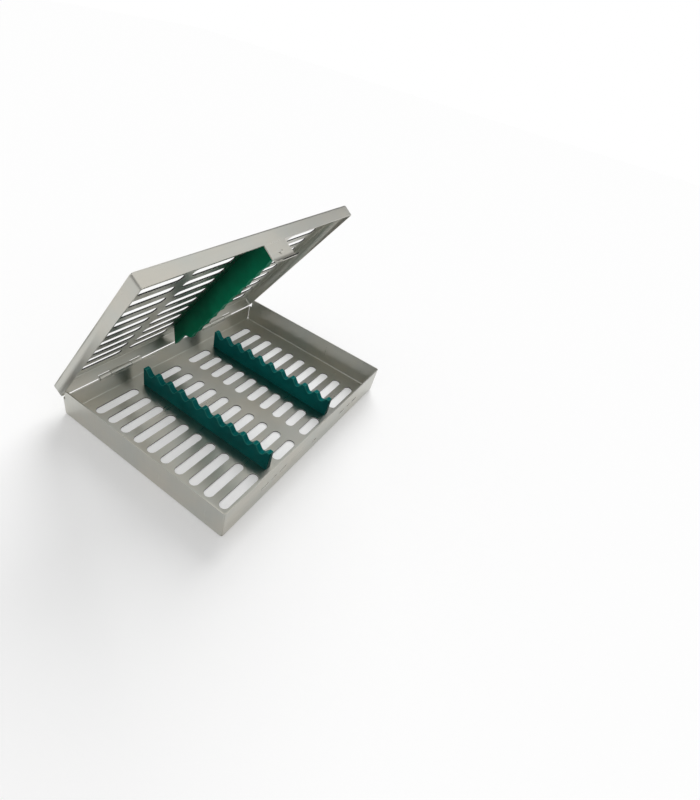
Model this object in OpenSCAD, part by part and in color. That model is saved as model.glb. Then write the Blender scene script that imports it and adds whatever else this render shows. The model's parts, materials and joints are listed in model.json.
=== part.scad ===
// Instrument cassette for cleaning, sterilising and storing hand instruments.
// A shallow tray and a shallow lid, both folded from perforated steel sheet, turn on
// two rolled hinges at the back. A spring tab at the front snaps over the tray.
// Notched silicone rails in the tray carry the instruments and a rail in the lid holds
// them down. X runs along the hinge, +Y points to the hinge and +Z points up.
// The origin is the middle of the tray's underside.

/* [Overall size] */
// Width of the tray along the hinge, outside
base_w = 200; // [170:1:250]
// Depth of the tray from the front to the hinge, outside
base_d = 147; // [120:1:180]
// Height of the front and side walls of the tray
base_h = 23.5; // [21:0.5:35]
// Thickness of the steel sheet
sheet_t = 0.9; // [0.7:0.1:1.2]

/* [Folded corners] */
// Outside radius of the upright corners of the tray
corner_r = 1.8; // [1.7:0.1:5]
// Outside radius of the fold between the tray's floor and walls
floor_bend_r = 1.6; // [1.3:0.1:1.7]
// Outside radius of the fold round the edge of the lid
lid_bend_r = 1.5; // [1.3:0.1:2.2]
// Width of the open seam at each upright corner of the tray
seam_w = 0.3; // [0.2:0.1:0.5]
// Radius of the relief hole at the foot of each seam
seam_hole_r = 0.6; // [0.4:0.1:0.8]
// Radius of the relief hole at each corner of the lid
relief_r = 0.6; // [0.4:0.1:1]

/* [Lid] */
// How far the lid is shown open, in degrees
lid_open = 56; // [0:1:175]
// Gap between the closed lid and the tops and sides of the tray's walls
lid_gap = 0.3; // [0.2:0.05:0.6]
// Gap at which the front flange swings past the top edge of the front wall
swing_clear = 0.1; // [0.05:0.05:0.4]
// Depth of the flange that runs round the lid
flange_h = 9; // [8:0.5:11]

/* [Hinges] */
// Length of each rolled hinge
hinge_len = 37; // [30:1:46]
// Distance of each hinge's middle from the middle of the tray
hinge_x = 52.5; // [40:0.5:60]
// Share of the hinge's length that each outer knuckle takes
outer_knuckle_share = 0.25; // [0.2:0.01:0.33]
// Radius of the hinge pin
pin_r = 1; // [0.8:0.1:1.3]
// Radial clearance between the pin and the rolled knuckles
pin_fit = 0.05; // [0.03:0.01:0.1]
// Gap between neighbouring knuckles and round the rolled sheet
knuckle_gap = 0.3; // [0.2:0.05:0.5]
// How far the pin's upset end stands out of the last knuckle
pin_end = 0.5; // [0.3:0.1:1]
// Radius of the pin's upset ends
pin_head_r = 1.4; // [1.3:0.1:1.7]
// Width of the line where a rolled knuckle's end meets its own sheet
roll_seam_w = 0.2; // [0.1:0.05:0.3]
// Depth of that line
roll_seam_deep = 0.4; // [0.2:0.1:0.6]
// Distance of the hinge line behind the outer face of the rear wall
hinge_back = 0.2; // [0.2:0.05:0.5]
// Distance from the hinge line to the edge of the lid's flange above it
hinge_drop = 0.2; // [0.1:0.05:0.5]

/* [Slot pattern] */
// Number of rows of slots from front to back
slot_rows = 10; // [6:1:10]
// Height of each slot, front to back
slot_h = 7.2; // [5:0.1:7.6]
// Distance from the outer face of a wall to the middle of the nearest row
row_margin = 14.3; // [12:0.1:20]
// Distance from the lid's side edge to the outer ends of its slots
lid_side_margin = 13; // [9:0.5:20]
// Width of the plain band down the middle of the lid
lid_centre_band = 16.6; // [12:0.1:24]
// Width of the plain band between two columns of slots in the lid
lid_column_band = 7; // [4:0.5:12]
// Distance from the tray's side to the outer ends of its slots
tray_side_margin = 15; // [10:0.5:22]
// Width of the plain band down the middle of the tray's floor
tray_centre_band = 11.2; // [8:0.1:20]
// Width of the plain band that carries each rail of the tray
rail_band = 20.2; // [14:0.1:24]

/* [Rails] */
// Distance of each tray rail from the middle of the tray
rail_x = 39.2; // [34:0.1:46]
// Thickness of a rail
rail_t = 4.6; // [3.5:0.1:6]
// Height of a tray rail above the floor
rail_h = 16.2; // [12:0.1:18]
// Distance from the tray's front and rear faces to the ends of its rails
rail_end_margin = 12; // [8:0.5:18]
// Number of notches in a tray rail
notch_count = 10; // [4:1:10]
// Depth of each notch
notch_deep = 4.8; // [3:0.1:6]
// Radius of the bottom of each notch
notch_r = 2.2; // [1.4:0.1:2.4]
// Width of the flat tip between two notches
tooth_w = 2.6; // [1.5:0.1:4]
// Depth of a rail in the lid, below the lid's plate
lid_rail_h = 16.4; // [10:0.1:17]
// Depth that is left at the raised rear end of the lid rail
lid_rail_tail_h = 11; // [6:0.1:12]
// Length of the raised rear end of the lid rail
lid_rail_tail = 23; // [15:0.5:30]
// Distance from the hinge line to the tip of the lid rail
lid_rail_tip = 3.6; // [3:0.1:10]
// Slope of the lid rail's rear end, as a length along the rail
lid_rail_slope = 13; // [5:0.5:20]
// Distance from the inside of the lid's front flange to the lid rail
lid_rail_front = 3.4; // [2:0.1:10]
// Depth of the shallow waves along the lid rail's edge
wave_deep = 0.8; // [0.3:0.1:1.5]
// Width of the flat tip between two waves
wave_tip = 0.8; // [0.4:0.1:2]
// Thickness of the neck of a rail where it passes through the sheet
rail_neck = 3.6; // [2.8:0.1:4.4]
// Clearance between that neck and its slot on each side
neck_gap = 0.1; // [0:0.05:0.3]
// Width of the bead that locks the lid rail behind the lid's plate
bead_w = 5; // [4.4:0.1:6.4]
// Height of that bead
bead_h = 0.6; // [0.4:0.1:1]
// How far the ends of a tray rail reach past its slot
rail_overhang = 3; // [2:0.5:6]
// How far the front end of the lid rail reaches past its slot
lid_rail_overhang = 6; // [3:0.5:9]

/* [Latch] */
// Width of the latch tab at the lid's front edge
tab_w = 20; // [14:0.5:26]
// How much wider the tab is at its lip
tab_flare = 2; // [0:0.5:5]
// Inside radius of the lip that curls outward
lip_r = 3.6; // [2.5:0.1:4.5]
// Length of the flat edge past the curl of the lip
lip_flat = 0.8; // [0.3:0.1:2]
// Height of the closed lip above the tray's underside
lip_clear = 1.9; // [1:0.1:3]
// Radius of the two corners of the lip
lip_corner_r = 4.5; // [1.5:0.5:5]
// Height of the catch slot's middle above the tray's underside
catch_z = 8.2; // [7.6:0.1:9]
// Length of the catch slot in the front wall
catch_len = 5; // [4:0.5:9]
// Height of the catch slot
catch_h = 3; // [1.8:0.1:3.4]
// Distance from the catch slot's middle up to the upper edge of the snap
snap_rise = 0.8; // [0.4:0.1:1.2]
// Radius of the pressed half dome of the snap, on the tab's outer face
snap_r = 2.4; // [1.6:0.1:2.6]
// Depth of that half dome
snap_deep = 0.55; // [0.2:0.05:0.6]
// How far the snap stands out of the tab towards the tray
snap_out = 0.15; // [0.05:0.05:0.2]
// Height of the slit that is cut above the half dome
snap_slit_h = 0.6; // [0.3:0.1:0.8]

/* [Front wall slits] */
// Height of the slits' middle above the tray's underside
slit_z = 12; // [10.8:0.1:12.5]
// Height of each slit
slit_h = 2; // [1:0.1:2.4]
// Distance from the middle of the tray to the middle slit of each group
slit_x = 50.5; // [45:0.5:60]
// Length of the middle slit of each group
slit_short = 5.5; // [4:0.5:6]
// Length of the two outer slits of each group
slit_long = 8; // [6:0.5:10]
// Width of the bridge between neighbouring slits
slit_bridge = 3.2; // [2:0.1:5]

/* [Hidden] */
$fn = 48;

steel = [0.76, 0.75, 0.72];
pin_steel = [0.62, 0.62, 0.6];
silicone = [0, 0.36, 0.28];

// A cutting shape passes this far through the face that it cuts.
cut = 1;

front_y = -base_d / 2;
rear_y = base_d / 2;

// The closed lid's plate lies just over the walls, and its flange just outside them.
lid_top = base_h + lid_gap + sheet_t;
plate_z = lid_top - sheet_t;
flange_z = lid_top - flange_h;

// The hinge line, with the rear wall below it and the lid's rear flange above it.
hinge_y = rear_y + hinge_back;
hinge_z = flange_z - hinge_drop;
rear_wall_top = hinge_z - knuckle_gap;

// The front flange stays just outside the circle on which the front wall's top edge
// lies round the hinge line, so the lid swings past it.
front_reach = hinge_y - front_y;
front_gap = norm([front_reach, base_h - hinge_z]) - front_reach + swing_clear;
lid_w = base_w + 2 * (lid_gap + sheet_t);
lid_front_y = front_y - front_gap - sheet_t;
lid_d = rear_y - lid_front_y;
lid_mid_y = (rear_y + lid_front_y) / 2;
lid_corner_r = corner_r + lid_gap + sheet_t;

// The hinge's knuckles.
bore_r = pin_r + pin_fit;
knuckle_r = bore_r + sheet_t;
outer_knuckle = hinge_len * outer_knuckle_share;
middle_knuckle = hinge_len - 2 * outer_knuckle - 2 * knuckle_gap;

// The rows of slots are shared out evenly between the front and the rear margin.
row_pitch = (base_d - 2 * row_margin) / (slot_rows - 1);

// The notches are shared out evenly along the rail.
rail_len = base_d - 2 * rail_end_margin;
notch_pitch = (rail_len - tooth_w) / notch_count;
notch_w = notch_pitch - tooth_w;

lid_rail_front_y = lid_front_y + sheet_t + lid_rail_front;
lid_rail_tip_y = hinge_y - lid_rail_tip;
lid_rail_top_rear_y = lid_rail_tip_y - lid_rail_slope;
lid_slot_front_y = lid_rail_front_y + lid_rail_overhang;
// The lid's slot is this much longer than the rail's neck at its rear end.
lid_slot_spare = 4;
lid_slot_rear_y = lid_rail_top_rear_y + lid_slot_spare;
tab_curl_z = lip_clear + sheet_t + lip_r;
snap_z = catch_z + snap_rise;

// Radius of the arc that has this half width and this height.
function arc_r(half_width, height) = (half_width * half_width + height * height) / (2 * height);

// Two half circles and the strip between them, lying along X.
module capsule(length, height) {
    square([length - height, height], center = true);
    for (side = [-1, 1])
        translate([side * (length - height) / 2, 0])
            circle(d = height);
}

// One capsule between two X positions, repeated on both sides of the middle.
module slot_column(x_in, x_out) {
    for (side = [-1, 1])
        translate([side * (x_in + x_out) / 2, 0])
            capsule(x_out - x_in, slot_h);
}

module slot_rows_2d() {
    for (row = [0 : slot_rows - 1])
        translate([0, front_y + row_margin + row * row_pitch])
            children();
}

// Section through a wall: floor strip, fold and upright, measured outward from the
// centre of the corner's arc.
module wall_section(height, corner, bend) {
    square([corner - bend, sheet_t]);
    translate([corner - sheet_t, bend])
        square([sheet_t, height - bend]);
    translate([corner - bend, bend])
        intersection() {
            difference() {
                circle(r = bend);
                circle(r = bend - sheet_t);
            }
            translate([0, -bend])
                square(bend);
        }
}

// Open pan folded from sheet: the walls' section runs along four sides and round
// four corners. The child is the cut-out pattern of the floor.
module pan(width, depth, height, corner, bend) {
    flat_w = width - 2 * corner;
    flat_d = depth - 2 * corner;
    linear_extrude(sheet_t)
        difference() {
            square([flat_w, flat_d], center = true);
            children();
        }
    for (side = [0, 180])
        rotate([0, 0, side]) {
            translate([flat_w / 2, flat_d / 2, 0])
                rotate([90, 0, 0])
                    linear_extrude(flat_d)
                        wall_section(height, corner, bend);
            translate([-flat_w / 2, flat_d / 2, 0])
                rotate([90, 0, 90])
                    linear_extrude(flat_w)
                        wall_section(height, corner, bend);
            translate([flat_w / 2, flat_d / 2, 0])
                rotate_extrude(angle = 90)
                    wall_section(height, corner, bend);
            translate([-flat_w / 2, flat_d / 2, 0])
                rotate([0, 0, 90])
                    rotate_extrude(angle = 90)
                        wall_section(height, corner, bend);
        }
}

// Pattern of the tray's floor: an outer and an inner column on each side of the
// band that carries a rail, and the long slot that the rail's neck passes through.
module tray_pattern() {
    slot_rows_2d() {
        slot_column(tray_centre_band / 2, rail_x - rail_band / 2);
        slot_column(rail_x + rail_band / 2, base_w / 2 - tray_side_margin);
    }
    for (side = [-1, 1])
        translate([side * rail_x, 0])
            square([rail_neck + 2 * neck_gap, rail_len - 2 * rail_overhang], center = true);
}

// Pattern of the lid's plate: two equal columns on each side of the middle band,
// and the long slot for the lid rail.
module lid_pattern() {
    outer = lid_w / 2 - lid_side_margin;
    inner = lid_centre_band / 2;
    column = (outer - inner - lid_column_band) / 2;
    slot_rows_2d() {
        slot_column(inner, inner + column);
        slot_column(outer - column, outer);
    }
    translate([-rail_neck / 2 - neck_gap, lid_slot_front_y])
        square([rail_neck + 2 * neck_gap, lid_slot_rear_y - lid_slot_front_y]);
}

// Places its child at each of the two hinges.
module at_hinges() {
    for (side = [-1, 1])
        translate([side * hinge_x, 0, 0])
            children();
}

// Places its child at the left end of each outer knuckle of one hinge.
module at_outer_knuckles() {
    for (x = [-hinge_len / 2, hinge_len / 2 - outer_knuckle])
        translate([x, 0, 0])
            children();
}

// Solid of one rolled knuckle, starting at X = 0 and running towards +X. The sheet
// comes from below (-1) or from above (1), and the roll ends against its outer face.
module knuckle(length, sheet_from) {
    difference() {
        translate([0, hinge_y, hinge_z])
            rotate([0, 90, 0])
                cylinder(r = knuckle_r, h = length);
        translate([-cut, rear_y, hinge_z + sheet_from * knuckle_r - roll_seam_deep])
            cube([length + 2 * cut, roll_seam_w, 2 * roll_seam_deep]);
    }
}

// Upright strip of sheet in the plane of the rear wall.
module rear_strip(length, z_low, z_high) {
    translate([0, rear_y - sheet_t, z_low])
        cube([length, sheet_t, z_high - z_low]);
}

// The bores of both hinges, and the room round the pins' upset ends.
module pin_bores() {
    head_room = pin_end + knuckle_gap;
    at_hinges()
        translate([0, hinge_y, hinge_z])
            rotate([0, 90, 0]) {
                cylinder(r = bore_r, h = hinge_len + 2 * head_room, center = true);
                for (end = [-hinge_len / 2 - head_room, hinge_len / 2])
                    translate([0, 0, end])
                        cylinder(r = pin_head_r + pin_fit, h = head_room);
            }
}

// Cuts a 2D shape, drawn in X and Z, through the front wall.
module through_front_wall() {
    translate([0, front_y + sheet_t + cut, 0])
        rotate([90, 0, 0])
            linear_extrude(sheet_t + 2 * cut)
                children();
}

module front_slits() {
    step = slit_short / 2 + slit_bridge + slit_long / 2;
    for (group = [-slit_x, slit_x])
        translate([group, slit_z]) {
            capsule(slit_short, slit_h);
            for (side = [-1, 1])
                translate([side * step, 0])
                    capsule(slit_long, slit_h);
        }
}

// The walls fold up separately, so an open seam runs down each corner, to a small
// relief hole just above the fold of the floor.
module corner_seams() {
    seam_long = 4 * sheet_t + 2 * corner_r;
    for (x = [-1, 1])
        for (y = [-1, 1])
            translate([x * base_w / 2, y * base_d / 2, floor_bend_r])
                rotate([0, 0, x * y * 45]) {
                    translate([-seam_long / 2, -seam_w / 2, 0])
                        cube([seam_long, seam_w, base_h]);
                    rotate([0, 90, 0])
                        cylinder(r = seam_hole_r, h = seam_long, center = true);
                }
}

// Above the rear wall the side walls stop short, to leave room for the lid's corner.
module rear_cut() {
    side_end_y = rear_y - lid_corner_r - lid_gap;
    ease_r = 3;
    translate([-base_w / 2 - cut, side_end_y, rear_wall_top])
        cube([base_w + 2 * cut, base_d, base_h]);
    translate([-base_w / 2 - cut, side_end_y - ease_r, base_h - ease_r])
        rotate([90, 0, 90])
            linear_extrude(base_w + 2 * cut)
                difference() {
                    square(ease_r + cut);
                    circle(r = ease_r);
                }
}

module base_tray() {
    color(steel)
        difference() {
            union() {
                difference() {
                    pan(base_w, base_d, base_h, corner_r, floor_bend_r)
                        tray_pattern();
                    rear_cut();
                    corner_seams();
                    through_front_wall()
                        front_slits();
                    through_front_wall()
                        translate([0, catch_z])
                            capsule(catch_len, catch_h);
                    at_hinges()
                        translate([-middle_knuckle / 2 - knuckle_gap, 0, 0])
                            translate([0, rear_y - sheet_t - cut, hinge_z - knuckle_r - knuckle_gap])
                                cube([middle_knuckle + 2 * knuckle_gap, sheet_t + 2 * cut, base_h]);
                }
                at_hinges()
                    at_outer_knuckles() {
                        knuckle(outer_knuckle, -1);
                        rear_strip(outer_knuckle, rear_wall_top - knuckle_r, hinge_z);
                    }
            }
            pin_bores();
        }
}

// Wedge with a round bottom, drawn with its mouth on Y = 0. Its sides touch the
// round bottom along their tangents.
module notch_2d() {
    half = notch_w / 2;
    drop = notch_deep - notch_r;
    reach = sqrt(half * half + drop * drop);
    turn = atan2(drop, half) + asin(notch_r / reach);
    tangent = [notch_r * sin(turn), -drop - notch_r * cos(turn)];
    polygon([
        [-half, cut],
        [-half, 0],
        [-tangent[0], tangent[1]],
        [tangent[0], tangent[1]],
        [half, 0],
        [half, cut]
    ]);
    translate([0, -drop])
        circle(r = notch_r);
}

// A shape drawn in Y and Z becomes a plate of the given thickness, centred on X = 0.
module plate_along_y(thickness) {
    rotate([90, 0, 90])
        linear_extrude(thickness, center = true)
            children();
}

// Notched plate. Its neck fills the slot in the floor and ends flush with the
// underside, so that the tray stands flat.
module tray_rail() {
    plate_along_y(rail_t)
        difference() {
            translate([-rail_len / 2, sheet_t])
                square([rail_len, rail_h]);
            for (notch = [0 : notch_count - 1])
                translate([-rail_len / 2 + tooth_w / 2 + (notch + 0.5) * notch_pitch, sheet_t + rail_h])
                    notch_2d();
        }
    neck_len = rail_len - 2 * rail_overhang - 2 * neck_gap;
    plate_along_y(rail_neck)
        translate([-neck_len / 2, 0])
            square([neck_len, sheet_t]);
}

module base_rail_left() {
    color(silicone)
        translate([-rail_x, 0, 0])
            tray_rail();
}

module base_rail_right() {
    color(silicone)
        translate([rail_x, 0, 0])
            tray_rail();
}

// Straight pin with two upset ends that keep it in the knuckles.
module hinge_pin() {
    translate([0, hinge_y, hinge_z])
        rotate([0, 90, 0]) {
            cylinder(r = pin_r, h = hinge_len + 2 * pin_end, center = true);
            for (side = [0, 180])
                rotate([side, 0, 0])
                    translate([0, 0, hinge_len / 2 + pin_fit])
                        cylinder(r1 = pin_head_r, r2 = pin_r, h = pin_end - pin_fit);
        }
}

module hinge_pin_left() {
    color(pin_steel)
        translate([-hinge_x, 0, 0])
            hinge_pin();
}

module hinge_pin_right() {
    color(pin_steel)
        translate([hinge_x, 0, 0])
            hinge_pin();
}

// Turns a piece of the closed lid about the hinge line to where the lid stands open.
module opened() {
    translate([0, hinge_y, hinge_z])
        rotate([-lid_open, 0, 0])
            translate([0, -hinge_y, -hinge_z])
                children();
}

// Outline of the tab from the front: it widens towards the lip, whose two lower
// corners are round.
module tab_outline() {
    low = lip_clear - cut;
    half_top = tab_w / 2;
    half_low = half_top + tab_flare / 2;
    round_z = lip_clear + lip_corner_r;
    polygon([
        [-half_top, flange_z + cut],
        [-half_low, round_z],
        [half_low, round_z],
        [half_top, flange_z + cut]
    ]);
    translate([-half_low + lip_corner_r, low])
        square([2 * (half_low - lip_corner_r), round_z - low]);
    for (side = [-1, 1])
        translate([side * (half_low - lip_corner_r), round_z])
            circle(r = lip_corner_r);
}

// The tab goes down from the front flange and curls outward into a finger lip.
module latch_tab() {
    curl_y = lid_front_y - lip_r;
    intersection() {
        rotate([90, 0, 90])
            linear_extrude(2 * tab_w, center = true) {
                translate([lid_front_y, tab_curl_z])
                    square([sheet_t, flange_z - tab_curl_z + cut]);
                translate([curl_y, tab_curl_z])
                    intersection() {
                        difference() {
                            circle(r = lip_r + sheet_t);
                            circle(r = lip_r);
                        }
                        translate([0, -lip_r - sheet_t])
                            square(lip_r + sheet_t);
                    }
                translate([curl_y - lip_flat, lip_clear])
                    square([lip_flat, sheet_t]);
            }
        translate([0, lid_front_y + sheet_t + cut, 0])
            rotate([90, 0, 0])
                linear_extrude(lip_r + lip_flat + sheet_t + 2 * cut)
                    tab_outline();
    }
}

// Lower half of a ball's cap that rises from Y = 0 towards +Y, with some of the ball
// behind it.
module half_dome(cap_r, cap_h, behind) {
    ball_r = arc_r(cap_r, cap_h);
    intersection() {
        translate([0, cap_h - ball_r, 0])
            sphere(r = ball_r);
        translate([-cap_r, -behind, -cap_r])
            cube([2 * cap_r, behind + cap_h, cap_r]);
    }
}

// The snap's low bump on the tab's inner face, which enters the catch slot.
module snap_bump() {
    translate([0, lid_front_y + sheet_t, snap_z])
        half_dome(snap_r - sheet_t / 2, snap_out, sheet_t / 4);
}

// The hollow that is pressed into the tab's outer face, and the slit above it.
module snap_hollow() {
    translate([0, lid_front_y, snap_z])
        half_dome(snap_r, snap_deep, cut);
    translate([0, lid_front_y + sheet_t + cut, snap_z + snap_slit_h / 2])
        rotate([90, 0, 0])
            linear_extrude(sheet_t + 2 * cut)
                capsule(2 * snap_r, snap_slit_h);
}

// Slotted plate with its flange, lying in the place of the closed lid.
module lid_pan() {
    translate([0, lid_mid_y, lid_top])
        mirror([0, 0, 1])
            pan(lid_w, lid_d, flange_h, lid_corner_r, lid_bend_r)
                translate([0, -lid_mid_y])
                    lid_pattern();
}

module lid_corner_holes() {
    inset = lid_bend_r;
    for (side = [-1, 1])
        for (y = [lid_front_y + inset, rear_y - inset])
            translate([side * (lid_w / 2 - inset), y, plate_z - lid_bend_r])
                cylinder(r = relief_r, h = lid_bend_r + sheet_t + cut);
}

module lid() {
    color(steel)
        opened()
            difference() {
                union() {
                    difference() {
                        lid_pan();
                        at_hinges()
                            at_outer_knuckles()
                                translate([-knuckle_gap, rear_y - sheet_t - cut, flange_z - cut])
                                    cube([
                                        outer_knuckle + 2 * knuckle_gap,
                                        sheet_t + 2 * cut,
                                        hinge_z + knuckle_r + knuckle_gap - flange_z + cut
                                    ]);
                    }
                    at_hinges()
                        translate([-middle_knuckle / 2, 0, 0]) {
                            knuckle(middle_knuckle, 1);
                            rear_strip(middle_knuckle, hinge_z, flange_z + knuckle_r);
                        }
                    latch_tab();
                    snap_bump();
                }
                pin_bores();
                lid_corner_holes();
                snap_hollow();
            }
}

// Side view of the closed lid's rail: a deep plate with a waved edge, cut square at
// the front. Its rear end is raised by a step and slopes back up to the plate.
module lid_rail_outline() {
    low = plate_z - lid_rail_h;
    tail_low = plate_z - lid_rail_tail_h;
    step_y = lid_rail_tip_y - lid_rail_tail;
    step = lid_rail_h - lid_rail_tail_h;
    waves = notch_count;
    wave_pitch = (step_y - lid_rail_front_y) / waves;
    wave_r = arc_r((wave_pitch - wave_tip) / 2, wave_deep);
    difference() {
        polygon([
            [lid_rail_front_y, plate_z],
            [lid_rail_front_y, low],
            [step_y, low],
            [step_y + step, tail_low],
            [lid_rail_tip_y, tail_low],
            [lid_rail_top_rear_y, plate_z]
        ]);
        for (wave = [0 : waves - 1])
            translate([lid_rail_front_y + (wave + 0.5) * wave_pitch, low + wave_deep - wave_r])
                circle(r = wave_r, $fn = 96);
    }
}

module lid_rail() {
    neck_front_y = lid_slot_front_y + neck_gap;
    neck_len = lid_rail_top_rear_y - neck_front_y;
    color(silicone)
        opened() {
            plate_along_y(rail_t)
                lid_rail_outline();
            plate_along_y(rail_neck)
                translate([neck_front_y, plate_z])
                    square([neck_len, sheet_t]);
            plate_along_y(bead_w)
                translate([neck_front_y, lid_top])
                    square([neck_len, bead_h]);
        }
}

base_tray();
base_rail_left();
base_rail_right();
hinge_pin_left();
hinge_pin_right();
lid();
lid_rail();
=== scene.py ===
import json
import math

import bmesh
import bpy
from mathutils import Matrix, Quaternion, Vector


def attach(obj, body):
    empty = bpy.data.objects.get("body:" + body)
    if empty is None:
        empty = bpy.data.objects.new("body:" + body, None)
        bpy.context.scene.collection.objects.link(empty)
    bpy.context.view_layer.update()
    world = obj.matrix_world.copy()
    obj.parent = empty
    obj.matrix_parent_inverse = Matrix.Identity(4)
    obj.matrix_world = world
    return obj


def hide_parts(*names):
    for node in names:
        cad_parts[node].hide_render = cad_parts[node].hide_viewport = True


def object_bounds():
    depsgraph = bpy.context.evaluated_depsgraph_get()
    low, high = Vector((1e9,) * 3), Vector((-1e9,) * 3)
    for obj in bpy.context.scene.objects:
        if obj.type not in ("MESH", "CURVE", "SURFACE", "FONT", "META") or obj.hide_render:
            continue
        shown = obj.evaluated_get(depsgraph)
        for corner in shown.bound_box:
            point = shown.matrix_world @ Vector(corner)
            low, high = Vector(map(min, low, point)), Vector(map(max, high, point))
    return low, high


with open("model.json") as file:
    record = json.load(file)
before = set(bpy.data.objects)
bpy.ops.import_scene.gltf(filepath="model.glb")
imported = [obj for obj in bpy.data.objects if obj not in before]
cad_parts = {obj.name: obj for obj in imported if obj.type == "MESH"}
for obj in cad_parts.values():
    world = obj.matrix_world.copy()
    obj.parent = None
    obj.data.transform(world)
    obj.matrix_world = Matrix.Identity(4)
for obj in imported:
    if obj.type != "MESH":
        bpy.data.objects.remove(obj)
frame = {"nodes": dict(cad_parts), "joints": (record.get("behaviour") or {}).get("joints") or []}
cad_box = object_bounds()


# Folded tray: floor and four walls of one stainless sheet, 0.9 mm thick. The sheet is
# brushed lengthwise and punched before it is folded, so the grain runs along the floor
# and up the side walls. Its edges are left slightly round and polished.
STEEL = (0.53, 0.535, 0.495, 1)
STEEL_WARM = (0.57, 0.55, 0.49, 1)
STEEL_EDGE = (0.62, 0.62, 0.58, 1)
# Painted shade: the punched and cut sheet edges, and the rounded strips beside them, are
# coloured near black, standing in for the shadowed ground they reflect under the tray.
CUT_EDGE_SHADE = (0.03, 0.03, 0.028, 1)
NOISE_SPREAD = (0.3, 0.7)
WARM_CLOUDS = (0.4, 0.65)
SCRATCHES_PER_METRE = (90.0, 4200.0)
STREAKS_PER_METRE = (14.0, 620.0)
CLOUDS_PER_METRE = 26.0
WAVES_PER_METRE = 22.0
STREAK_OVER_SCRATCH = 2.0
STREAK_DULLNESS = (0.27, 0.36)
EDGE_DULLNESS = 0.7
WAVE_DEPTH = 0.0004
SCRATCH_DEPTH = 0.0001
SCRATCH_SHOW = 0.03
BRUSH_STRENGTH = 0.85
BRUSH_TURN = 0.25

GAUGE = 0.0009
GAUGE_ERROR = 1e-5
CORNER = 0.0035
EDGE_ROUND = 0.00012
EDGE_STEPS = 2
ONE_PLACE = 1e-6
UPRIGHT = 0.1
FLAT_BEND = math.radians(0.5)
SHARP_BEND = math.radians(30)
MARKED = 0.5
BROAD_FACES_LEAD = 100
FIRST_COLOUR, SECOND_COLOUR, BLENDED_COLOUR = 6, 7, 2


def add_node(tree, kind, inputs, **settings):
    node = tree.nodes.new(kind)
    for setting, value in settings.items():
        setattr(node, setting, value)
    for socket, value in inputs.items():
        if isinstance(value, bpy.types.NodeSocket):
            tree.links.new(value, node.inputs[socket])
        else:
            node.inputs[socket].default_value = value
    return node


def noise(tree, vector, scale, detail, roughness):
    node = add_node(
        tree, "ShaderNodeTexNoise",
        {"Vector": vector, "Scale": scale, "Detail": detail, "Roughness": roughness},
    )
    return node.outputs["Fac"]


def remap(tree, value, low, high, to_low, to_high):
    node = add_node(
        tree, "ShaderNodeMapRange",
        {"Value": value, "From Min": low, "From Max": high, "To Min": to_low, "To Max": to_high},
    )
    return node.outputs["Result"]


def calculate(tree, operation, *values, clamp=False):
    node = add_node(
        tree, "ShaderNodeMath", dict(enumerate(values)), operation=operation, use_clamp=clamp,
    )
    return node.outputs["Value"]


def blend_colour(tree, mask, first, second):
    node = add_node(
        tree, "ShaderNodeMix",
        {"Factor": mask, FIRST_COLOUR: first, SECOND_COLOUR: second}, data_type="RGBA",
    )
    return node.outputs[BLENDED_COLOUR]


def stretched(tree, vector, along, across):
    node = add_node(
        tree, "ShaderNodeVectorMath",
        {0: vector, 1: (along, across, across)}, operation="MULTIPLY",
    )
    return node.outputs["Vector"]


def attribute(tree, name, output="Fac"):
    return add_node(tree, "ShaderNodeAttribute", {}, attribute_name=name).outputs[output]


def bump(tree, strength, depth, height, **under):
    node = add_node(
        tree, "ShaderNodeBump",
        {"Strength": strength, "Distance": depth, "Height": height, **under},
    )
    return node.outputs["Normal"]


def new_material(name):
    material = bpy.data.materials.new(name)
    material.use_nodes = True
    return material, material.node_tree, material.node_tree.nodes["Principled BSDF"]


def brushed_grain():
    group = bpy.data.node_groups.new("brushed_grain", "ShaderNodeTree")
    group.interface.new_socket("Place", in_out="INPUT", socket_type="NodeSocketVector")
    place = group.nodes.new("NodeGroupInput").outputs["Place"]
    fine = stretched(group, place, *SCRATCHES_PER_METRE)
    coarse = stretched(group, place, *STREAKS_PER_METRE)
    result = group.nodes.new("NodeGroupOutput")
    marks = {
        "Scratches": noise(group, fine, 1.0, detail=3.0, roughness=0.65),
        "Streaks": noise(group, coarse, 1.0, detail=3.0, roughness=0.6),
        "Cloud": noise(group, place, CLOUDS_PER_METRE, detail=3.0, roughness=0.55),
        "Waves": noise(group, place, WAVES_PER_METRE, detail=1.0, roughness=0.4),
    }
    for name, mark in marks.items():
        group.interface.new_socket(name, in_out="OUTPUT", socket_type="NodeSocketFloat")
        group.links.new(mark, result.inputs[name])
    return group


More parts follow.
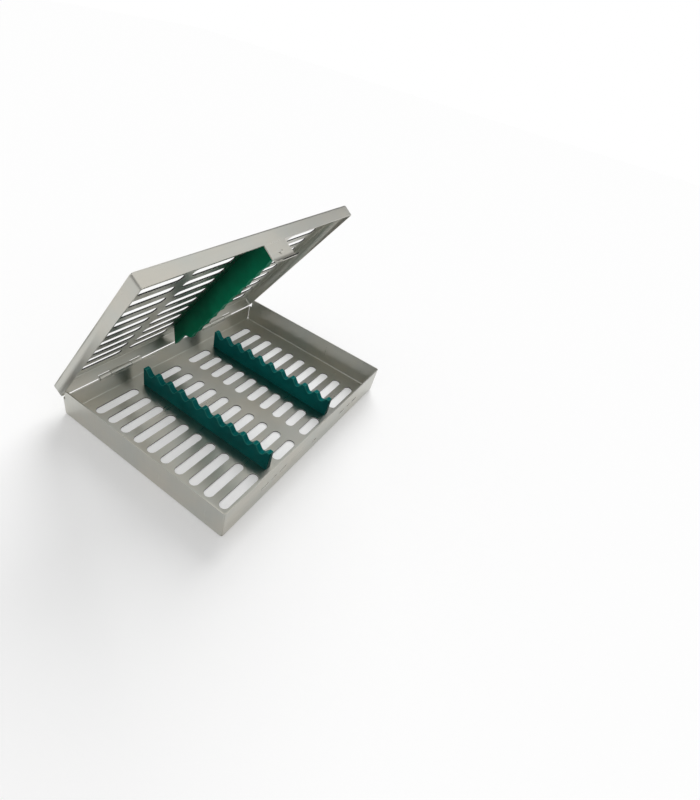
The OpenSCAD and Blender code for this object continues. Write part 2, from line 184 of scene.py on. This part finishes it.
def brushed_steel(name, place_of):
    material, tree, shader = new_material(name)
    grain = add_node(tree, "ShaderNodeGroup", {}, node_tree=grain_group)
    tree.links.new(place_of(tree), grain.inputs["Place"])
    edge = attribute(tree, "rounded_edge")
    cut_shade = attribute(tree, "cut_face_shade")
    warm = remap(tree, grain.outputs["Cloud"], *WARM_CLOUDS, 0.0, 1.0)
    flat_tone = blend_colour(tree, warm, STEEL, STEEL_WARM)
    outer_tone = blend_colour(tree, edge, flat_tone, STEEL_EDGE)
    # Cut faces and the strips beside them take the painted cut-edge shade.
    tree.links.new(blend_colour(tree, cut_shade, outer_tone, CUT_EDGE_SHADE), shader.inputs["Base Color"])
    shader.inputs["Metallic"].default_value = 1.0
    dull = remap(tree, grain.outputs["Streaks"], *NOISE_SPREAD, *STREAK_DULLNESS)
    polish = remap(tree, edge, 0.0, 1.0, 1.0, EDGE_DULLNESS)
    tree.links.new(calculate(tree, "MULTIPLY", dull, polish), shader.inputs["Roughness"])
    height = calculate(
        tree, "MULTIPLY_ADD",
        grain.outputs["Streaks"], STREAK_OVER_SCRATCH, grain.outputs["Scratches"],
    )
    wavy = bump(tree, 1.0, WAVE_DEPTH, grain.outputs["Waves"])
    scratched = bump(tree, SCRATCH_SHOW, SCRATCH_DEPTH, height, Normal=wavy)
    tree.links.new(scratched, shader.inputs["Normal"])
    return material


def sheet_place(tree):
    return add_node(tree, "ShaderNodeUVMap", {}, uv_map="sheet").outputs["UV"]


def brush_along_sheet(material):
    tree = material.node_tree
    shader = tree.nodes["Principled BSDF"]
    way = add_node(
        tree, "ShaderNodeVectorTransform", {"Vector": attribute(tree, "grain_way", "Vector")},
        vector_type="VECTOR", convert_from="OBJECT", convert_to="WORLD",
    )
    tree.links.new(way.outputs["Vector"], shader.inputs["Tangent"])
    shader.inputs["Anisotropic"].default_value = BRUSH_STRENGTH
    shader.inputs["Anisotropic Rotation"].default_value = BRUSH_TURN


# The punched walls get the mask for the painted cut-edge shade.
def mark_punched_walls(mesh, cut_shade, flatten):
    for face in mesh.faces:
        heights = [(flatten @ vert.co).z for vert in face.verts]
        upright = abs((flatten @ face.normal).z) < UPRIGHT
        if upright and abs(max(heights) - min(heights) - GAUGE) < GAUGE_ERROR:
            for loop in face.loops:
                loop[cut_shade] = 1.0


def folded_corners(places):
    reach = max(place.x for place in places.values())
    ends = {vert: place for vert, place in places.items() if abs(place.x) > reach - CORNER}
    front = min(place.y for place in ends.values()) + CORNER
    rear = max(place.y for place in ends.values()) - CORNER
    return {vert for vert, place in ends.items() if place.y < front or place.y > rear}


# Edges that are too short or too tangled to round stay crisp, and so does what
# left_crisp picks from the vertices' places once the piece is laid level.
def rounded_copy(node, edge_round, steps, tilt, left_crisp, is_sheet=True):
    mesh = bmesh.new()
    mesh.from_mesh(frame["nodes"][node].data)
    bmesh.ops.remove_doubles(mesh, verts=mesh.verts, dist=ONE_PLACE)
    bmesh.ops.dissolve_limit(
        mesh, angle_limit=FLAT_BEND, verts=mesh.verts, edges=mesh.edges, delimit=set(),
    )
    for name in ("rounded_edge", "cut_face_shade"):
        mesh.loops.layers.float.new(name)
    polish = mesh.loops.layers.float["rounded_edge"]
    cut_shade = mesh.loops.layers.float["cut_face_shade"]
    flatten = Matrix.Rotation(tilt, 3, "X")
    if is_sheet:
        mark_punched_walls(mesh, cut_shade, flatten)
    crisp = left_crisp({vert: flatten @ vert.co for vert in mesh.verts})
    crisp |= {
        vert for edge in mesh.edges
        if edge.calc_length() < EDGE_ROUND or not edge.is_manifold
        for vert in edge.verts
    }
    sharp = [edge for edge in mesh.edges if edge.calc_face_angle(0) > SHARP_BEND]
    for edge in sharp:
        edge.smooth = crisp.isdisjoint(edge.verts)
    rounded = bmesh.ops.bevel(
        mesh, geom=[edge for edge in sharp if edge.smooth], affect="EDGES",
        offset=edge_round, segments=steps, profile=0.5, clamp_overlap=False, material=-1,
    )
    strips = set(rounded["faces"])
    # A rounded strip beside a cut face gets the painted cut-edge shade; the others get the
    # rounded-edge mask.
    for face in strips:
        beside = {other for edge in face.edges for other in edge.link_faces} - strips
        beside_cut_shade = any(other.loops[0][cut_shade] > MARKED for other in beside)
        for loop in face.loops:
            loop[polish] = 0.0 if beside_cut_shade else 1.0
            loop[cut_shade] = 1.0 if beside_cut_shade else 0.0
    bmesh.ops.dissolve_degenerate(mesh, dist=ONE_PLACE, edges=mesh.edges)
    for face in mesh.faces:
        face.smooth = True
    return mesh


def lay_out_sheet(mesh, tilt):
    mesh.loops.layers.uv.new("sheet")
    mesh.loops.layers.float_vector.new("grain_way")
    sheet = mesh.loops.layers.uv["sheet"]
    grain_way = mesh.loops.layers.float_vector["grain_way"]
    flatten = Matrix.Rotation(tilt, 3, "X")
    along = Vector((1, 0, 0))
    upward = flatten.inverted() @ Vector((0, 0, 1))
    for face in mesh.faces:
        normal = flatten @ face.normal
        steep = max(range(3), key=lambda axis: abs(normal[axis]))
        for loop in face.loops:
            place = flatten @ loop.vert.co
            loop[sheet].uv = ((place.z, place.y), (place.x, place.z), (place.x, place.y))[steep]
            loop[grain_way] = upward if steep == 0 else along


def solid_from(mesh, name, material):
    data = bpy.data.meshes.new(name)
    mesh.to_mesh(data)
    mesh.free()
    data.materials.append(material)
    solid = bpy.data.objects.new(name, data)
    bpy.context.scene.collection.objects.link(solid)
    return solid


def finished_piece(mesh, name, material, body, node):
    piece = solid_from(mesh, name, material)
    flats = piece.modifiers.new("flats", "WEIGHTED_NORMAL")
    flats.weight = BROAD_FACES_LEAD
    flats.keep_sharp = True
    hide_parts(node)
    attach(piece, body)


grain_group = brushed_grain()
sheet_steel = brushed_steel("sheet_steel", sheet_place)
brush_along_sheet(sheet_steel)
tray = rounded_copy("base_tray", EDGE_ROUND, EDGE_STEPS, 0.0, folded_corners)
lay_out_sheet(tray, 0.0)
finished_piece(tray, "folded_tray", sheet_steel, "tray_body", "base_tray")


# Notched tray rails: two strips of green silicone, moulded with round-bottomed notches
# for the handles and pressed into their slots in the floor. Their rounded edges carry a
# painted highlight, paler than the flats, and their roots painted shade, darker than the
# rest.
TEAL = (0.0, 0.145, 0.138, 1)
TEAL_DEEP = (0.0, 0.105, 0.10, 1)
TEAL_EDGE_HIGHLIGHT = (0.03, 0.20, 0.17, 1)
TRAY_ROOT_SHADE = 0.8
SILICONE_SHINE = 0.06
SILICONE_DULLNESS = (0.34, 0.50)
FLOWS_PER_METRE = 60.0
FLOW_SPREAD = (0.35, 0.65)
TOUCHES_PER_METRE = 180.0
PORES_PER_METRE = 2600.0
PORE_SHOW = 0.2
PORE_DEPTH = 0.00005
RAIL_ROUND = 0.0004
RAIL_STEPS = 3
ROOT_SHARE = 0.12


def own_place(tree):
    return tree.nodes.new("ShaderNodeTexCoord").outputs["Object"]


def silicone(name, deep, tone, edge_highlight, root_shade):
    material, tree, shader = new_material(name)
    place = own_place(tree)
    flow = noise(tree, place, FLOWS_PER_METRE, detail=3.0, roughness=0.6)
    depth = remap(tree, flow, *FLOW_SPREAD, 0.0, 1.0)
    # Painted shade: the colour is scaled down towards each rail's root, to root_shade of itself
    # at the very root.
    lit = remap(tree, attribute(tree, "toward_tip"), 0.0, 1.0, root_shade, 1.0)
    root_shaded_tone = add_node(
        tree, "ShaderNodeVectorMath",
        {0: blend_colour(tree, depth, deep, tone), "Scale": lit}, operation="SCALE",
    ).outputs["Vector"]
    # Painted highlight: the rounded edges of the silicone are coloured paler than the flats.
    edge = attribute(tree, "rounded_edge")
    tree.links.new(blend_colour(tree, edge, root_shaded_tone, edge_highlight), shader.inputs["Base Color"])
    shader.inputs["Specular IOR Level"].default_value = SILICONE_SHINE
    touches = noise(tree, place, TOUCHES_PER_METRE, detail=3.0, roughness=0.6)
    dull = remap(tree, touches, *NOISE_SPREAD, *SILICONE_DULLNESS)
    tree.links.new(dull, shader.inputs["Roughness"])
    pores = noise(tree, place, PORES_PER_METRE, detail=2.0, roughness=0.5)
    tree.links.new(bump(tree, PORE_SHOW, PORE_DEPTH, pores), shader.inputs["Normal"])
    return material


def rail_root(places):
    low = min(place.z for place in places.values())
    high = max(place.z for place in places.values())
    return {vert for vert, place in places.items() if place.z - low < ROOT_SHARE * (high - low)}


# How far up each rail a point stands, which sets its painted root shade.
def mark_rise(mesh, tilt):
    toward_tip = mesh.loops.layers.float.new("toward_tip")
    flatten = Matrix.Rotation(tilt, 3, "X")
    heights = {vert: (flatten @ vert.co).z for vert in mesh.verts}
    low, high = min(heights.values()), max(heights.values())
    for face in mesh.faces:
        for loop in face.loops:
            loop[toward_tip] = (heights[loop.vert] - low) / (high - low)


tray_silicone = silicone("tray_silicone", TEAL_DEEP, TEAL, TEAL_EDGE_HIGHLIGHT, TRAY_ROOT_SHADE)
for node, name in (("base_rail_left", "left_tray_rail"), ("base_rail_right", "right_tray_rail")):
    rail = rounded_copy(node, RAIL_ROUND, RAIL_STEPS, 0.0, rail_root, is_sheet=False)
    mark_rise(rail, 0.0)
    finished_piece(rail, name, tray_silicone, "tray_body", node)


# Hinge pins: drawn stainless wire, 2 mm thick, whose ends are upset cold so that the
# pins stay in the rolled knuckles.
pin_steel = brushed_steel("pin_steel", own_place)
for node in ("hinge_pin_left", "hinge_pin_right"):
    pin = frame["nodes"][node]
    pin.data.materials.clear()
    pin.data.materials.append(pin_steel)


# Lid: a slotted plate with a shallow flange all round, punched and folded from the same
# brushed sheet. The middle knuckles are rolled from its rear flange, and the latch tab
# is one piece with its front flange.
LID_OPEN = -frame["joints"][0]["range_deg"][0]
LID_TILT = math.radians(LID_OPEN)

lid = rounded_copy("lid", EDGE_ROUND, EDGE_STEPS, LID_TILT, folded_corners)
lay_out_sheet(lid, LID_TILT)
finished_piece(lid, "folded_lid", sheet_steel, "lid_body", "lid")


# Lid rail: one deep silicone plate down the middle of the lid. Its waved edge presses
# on the instruments, and its neck passes through a long slot and ends in a bead.
GREEN = (0.0, 0.21, 0.10, 1)
GREEN_DEEP = (0.0, 0.15, 0.072, 1)
GREEN_EDGE_HIGHLIGHT = (0.03, 0.24, 0.15, 1)
# The lid rail gets a much deeper painted shade at its root, standing in for the shade of the lid
# plate around it, and the same painted highlight on its rounded edges.
LID_ROOT_SHADE = 0.2
WAVES_UP = math.radians(LID_OPEN + 180)

lid_silicone = silicone("lid_silicone", GREEN_DEEP, GREEN, GREEN_EDGE_HIGHLIGHT, LID_ROOT_SHADE)
lid_rail = rounded_copy("lid_rail", RAIL_ROUND, RAIL_STEPS, WAVES_UP, rail_root, is_sheet=False)
mark_rise(lid_rail, WAVES_UP)
finished_piece(
    lid_rail, "waved_lid_rail", lid_silicone, "lid_body", "lid_rail",
)


# Studio: a white floor in a white room, with one broad soft lamp behind on the right
# and two grey cards out of the picture, which only the steel reflects. The camera
# stands where the photograph was taken.
FLOOR_SIZE = (6.0, 6.0)
FLOOR_TONE = 0.75
FLOOR_GLOW = 0.25
ROOM_LIGHT = 0.55
CARD_SIZE = (1.1, 0.8)
CARD_TONE = 0.3
CARD_PLACES = {"left_card": (-0.95, 0.40, 0.62), "rear_card": (1.05, 0.42, 0.55)}
LAMP_POWER = 2.3
LAMP_SPREAD = math.radians(40)
LAMP_WAY = (-0.72, -0.33, -0.58)
CAMERA_PLACE = (-0.2250, -0.1576, 0.2493)
CAMERA_AIM = (0.7202, 0.3250, -0.6129)
CAMERA_ROLL = math.radians(15.37)
CAMERA_NEAREST = 0.01
PHOTO_SIZE = (700, 800)
PHOTO_CENTRE = (309.0, 378.7)
FOCAL_PIXELS = 451.6


def seen_directly(tree):
    light_path = tree.nodes.new("ShaderNodeLightPath")
    seen = calculate(
        tree, "ADD", light_path.outputs["Is Camera Ray"], light_path.outputs["Is Glossy Ray"],
    )
    through = light_path.outputs["Is Transmission Ray"]
    return calculate(tree, "ADD", seen, through, clamp=True)


def painted(name, tone):
    material, tree, shader = new_material(name)
    shader.inputs["Base Color"].default_value = (tone, tone, tone, 1)
    return material, tree, shader


def flat_panel(name, size, place, facing, material):
    mesh = bmesh.new()
    bmesh.ops.create_grid(mesh, x_segments=1, y_segments=1, size=0.5)
    bmesh.ops.scale(mesh, vec=(*size, 1), verts=mesh.verts)
    turned = Vector(facing).to_track_quat("Z", "Y").to_matrix().to_4x4()
    bmesh.ops.transform(mesh, verts=mesh.verts, matrix=Matrix.Translation(place) @ turned)
    panel = solid_from(mesh, name, material)
    return panel


floor_white, floor_tree, floor_shader = painted("floor_white", FLOOR_TONE)
floor_shader.inputs["Roughness"].default_value = 1.0
floor_shader.inputs["Specular IOR Level"].default_value = 0.0
floor_shader.inputs["Emission Color"].default_value = (1, 1, 1, 1)
floor_glow = calculate(floor_tree, "MULTIPLY", seen_directly(floor_tree), FLOOR_GLOW)
floor_tree.links.new(floor_glow, floor_shader.inputs["Emission Strength"])
flat_panel("floor", FLOOR_SIZE, (0, 0, cad_box[0].z), (0, 0, 1), floor_white)

card_grey = painted("card_grey", CARD_TONE)[0]
for name, place in CARD_PLACES.items():
    card = flat_panel(name, CARD_SIZE, place, [-step for step in place], card_grey)
    card.visible_camera = False
    card.visible_diffuse = False
    card.visible_shadow = False

world = bpy.data.worlds.new("studio")
bpy.context.scene.world = world
world.use_nodes = True
room = world.node_tree
backdrop = room.nodes["Background"]
backdrop.inputs["Color"].default_value = (1, 1, 1, 1)
room_light = remap(room, seen_directly(room), 0.0, 1.0, ROOM_LIGHT, 1.0)
room.links.new(room_light, backdrop.inputs["Strength"])

lamp_data = bpy.data.lights.new("key_lamp", "SUN")
lamp_data.energy = LAMP_POWER
lamp_data.angle = LAMP_SPREAD
lamp = bpy.data.objects.new("key_lamp", lamp_data)
lamp.rotation_mode = "QUATERNION"
lamp.rotation_quaternion = Vector(LAMP_WAY).to_track_quat("-Z", "Y")
lamp.visible_glossy = False
bpy.context.scene.collection.objects.link(lamp)

camera_data = bpy.data.cameras.new("camera")
camera = bpy.data.objects.new("camera", camera_data)
camera.location = CAMERA_PLACE
camera.rotation_mode = "QUATERNION"
level = Vector(CAMERA_AIM).to_track_quat("-Z", "Y")
camera.rotation_quaternion = level @ Quaternion((0, 0, 1), CAMERA_ROLL)
camera_data.lens = FOCAL_PIXELS * camera_data.sensor_width / max(PHOTO_SIZE)
camera_data.shift_x = (PHOTO_SIZE[0] / 2 - PHOTO_CENTRE[0]) / max(PHOTO_SIZE)
camera_data.shift_y = (PHOTO_CENTRE[1] - PHOTO_SIZE[1] / 2) / max(PHOTO_SIZE)
camera_data.clip_start = CAMERA_NEAREST
bpy.context.scene.collection.objects.link(camera)
bpy.context.scene.camera = camera
bpy.context.scene.view_settings.view_transform = "Standard"
